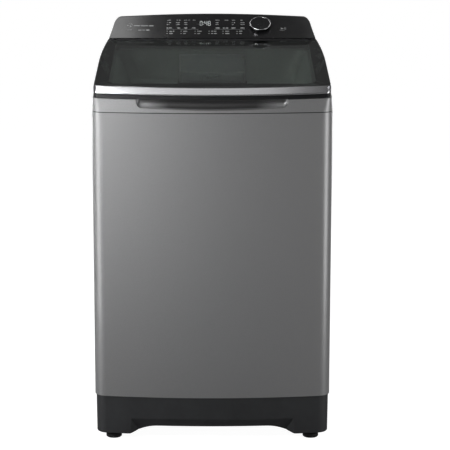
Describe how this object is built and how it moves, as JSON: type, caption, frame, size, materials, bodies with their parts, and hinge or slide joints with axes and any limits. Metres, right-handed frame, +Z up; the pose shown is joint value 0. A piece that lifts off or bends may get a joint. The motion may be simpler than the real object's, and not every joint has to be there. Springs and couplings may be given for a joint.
{
  "type": "top load washing machine",
  "caption": "Top load washing machine: grey bowed cabinet on a dark plinth, tinted glass lid with bright front strip, sloped black console with a round knob, perforated wash basket inside.",
  "frame": {"origin": "centre of the footprint on the floor, under the middle of the bounding box", "axes": "+X to the right of a person facing the machine, front faces -Y, +Z up"},
  "size_m": [0.61, 0.6562, 1.055],
  "materials": {
    "body_paint": "satin metallic grey paint",
    "cover_paint": "satin metallic grey paint on plastic",
    "base_plastic": "fine grained dark grey plastic",
    "black_plastic": "semi gloss black plastic",
    "fascia": "high gloss black panel",
    "tinted_glass": "dark tinted tempered glass",
    "chrome": "bright plated",
    "basket_steel": "brushed stainless steel",
    "zinc_steel": "zinc plated steel",
    "white_plastic": "plain moulded plastic",
    "grey_plastic": "fine grained plastic",
    "rubber": "matt rubber",
    "cast_aluminium": "as cast",
    "motor_paint": "black enamel",
    "circuit_board": "coated board"
  },
  "bodies": {
    "cabinet": {"cabinet_shell": "body_paint", "rear_panel": "zinc_steel", "rear_panel_screws": "zinc_steel", "base_plinth": "base_plastic", "top_cover": "cover_paint", "console_housing": "black_plastic", "console_fascia": "fascia", "control_board": "circuit_board", "knob_encoder": "black_plastic", "lid_hinge_brackets": "black_plastic", "lid_buffers": "rubber", "lid_lock": "black_plastic", "dispenser_case": "grey_plastic", "suspension_rods": "zinc_steel", "suspension_seats": "grey_plastic", "corner_brackets": "zinc_steel", "drain_pump": "grey_plastic", "drain_hose": "rubber", "drain_outlet": "grey_plastic", "inlet_valve_cold": "white_plastic", "inlet_valve_hot": "white_plastic", "cord_gland": "black_plastic"},
    "lid": {"lid_frame": "black_plastic", "lid_front_trim": "chrome", "lid_glass": "tinted_glass", "lid_hinge_pins": "zinc_steel"},
    "knob": {"knob_body": "fascia", "knob_ring": "chrome"},
    "drawer": {"dispenser_drawer": "grey_plastic"},
    "tub": {"outer_tub": "white_plastic", "tub_cover_ring": "white_plastic", "suspension_lugs": "zinc_steel", "suspension_springs": "zinc_steel", "sump_hose": "rubber", "bearing_housing": "cast_aluminium", "tub_bearings": "zinc_steel", "tub_shaft_seal": "rubber", "drive_motor": "motor_paint", "motor_bracket": "zinc_steel", "motor_bracket_posts": "zinc_steel", "drive_belt": "rubber"},
    "basket": {"wash_basket": "basket_steel", "basket_base": "grey_plastic", "balance_ring": "grey_plastic", "lint_filter_left": "white_plastic", "lint_filter_right": "white_plastic", "spin_tube": "zinc_steel"},
    "drive": {"pulsator": "grey_plastic", "pulsator_cap": "grey_plastic", "drive_shaft": "zinc_steel", "drive_pulley": "cast_aluminium"},
    "motor": {"motor_shaft": "zinc_steel", "motor_pulley": "cast_aluminium"},
    "foot_front_left": {"foot_front_left": "rubber"},
    "foot_front_right": {"foot_front_right": "rubber"},
    "foot_rear_left": {"foot_rear_left": "rubber"},
    "foot_rear_right": {"foot_rear_right": "rubber"}
  },
  "joints": [
    {"name": "lid_hinge", "type": "hinge", "parent": "cabinet", "child": "lid", "pos_m": [0, 0.18794, 0.98749], "axis": [-1, 0, 0], "range_deg": [0, 100]},
    {"name": "knob_turn", "type": "hinge", "parent": "cabinet", "child": "knob", "pos_m": [0.133, 0.24188, 1.02579], "axis": [0, -0.5446, 0.8387], "continuous": true},
    {"name": "drawer_slide", "type": "slide", "parent": "cabinet", "child": "drawer", "axis": [0, -1, 0], "range_m": [0, 0.1]},
    {"name": "tub_suspension", "type": "slide", "parent": "cabinet", "child": "tub", "axis": [0, 0, 1], "range_m": [-0.025, 0.01], "stiffness_N_per_m": 26000, "springref_m": 0.0105, "deforming": ["suspension_springs", "sump_hose"]},
    {"name": "basket_spin", "type": "hinge", "parent": "tub", "child": "basket", "pos_m": [0, -0.008, 0.5], "axis": [0, 0, 1], "continuous": true},
    {"name": "pulsator_spin", "type": "hinge", "parent": "tub", "child": "drive", "pos_m": [0, -0.008, 0.2], "axis": [0, 0, 1], "continuous": true},
    {"name": "motor_spin", "type": "hinge", "parent": "tub", "child": "motor", "pos_m": [0.165, 0.05, 0.13], "axis": [0, 0, 1], "continuous": true},
    {"name": "foot_front_left_height", "type": "slide", "parent": "cabinet", "child": "foot_front_left", "axis": [0, 0, -1], "range_m": [0, 0.012]},
    {"name": "foot_front_right_height", "type": "slide", "parent": "cabinet", "child": "foot_front_right", "axis": [0, 0, -1], "range_m": [0, 0.012]},
    {"name": "foot_rear_left_height", "type": "slide", "parent": "cabinet", "child": "foot_rear_left", "axis": [0, 0, -1], "range_m": [0, 0.012]},
    {"name": "foot_rear_right_height", "type": "slide", "parent": "cabinet", "child": "foot_rear_right", "axis": [0, 0, -1], "range_m": [0, 0.012]}
  ],
  "couplings": [
    {"joint": "motor_spin", "follows": "pulsator_spin", "ratio": 4.967}
  ]
}
